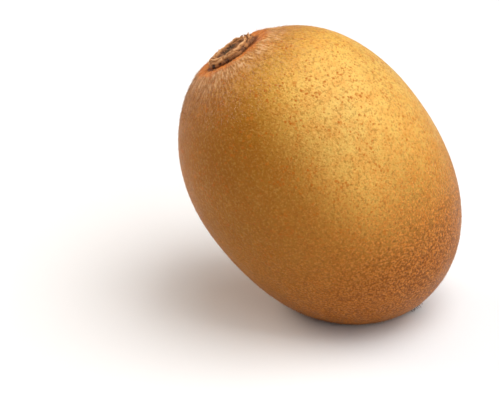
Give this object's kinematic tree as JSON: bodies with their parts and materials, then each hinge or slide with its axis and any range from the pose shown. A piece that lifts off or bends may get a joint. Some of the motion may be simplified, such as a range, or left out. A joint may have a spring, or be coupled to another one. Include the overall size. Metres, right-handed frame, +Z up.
{
  "type": "golden kiwi fruit",
  "caption": "Whole golden kiwi fruit resting on a small flat spot, its stem end with the dried calyx leaning up, dried styles at the blossom end.",
  "frame": {"origin": "on the floor, inside the flat spot and right under the fruit's centre of mass", "axes": "+Z up. The fruit's long axis leans 38 degrees from upright, and its stem end points up, to -X and a little to +Y. -Y is the side towards the viewer."},
  "size_m": [0.0597, 0.0507, 0.0609],
  "materials": {
    "golden_skin": "thin dry skin with a low soft sheen, small lenticels and sparse short hairs",
    "dried_calyx": "matte, dry and cracked",
    "dried_styles": "matte, dry and fibrous"
  },
  "bodies": {
    "root": {"fruit_in_skin": "golden_skin", "stem_calyx": "dried_calyx", "blossom_styles": "dried_styles"}
  },
  "joints": []
}
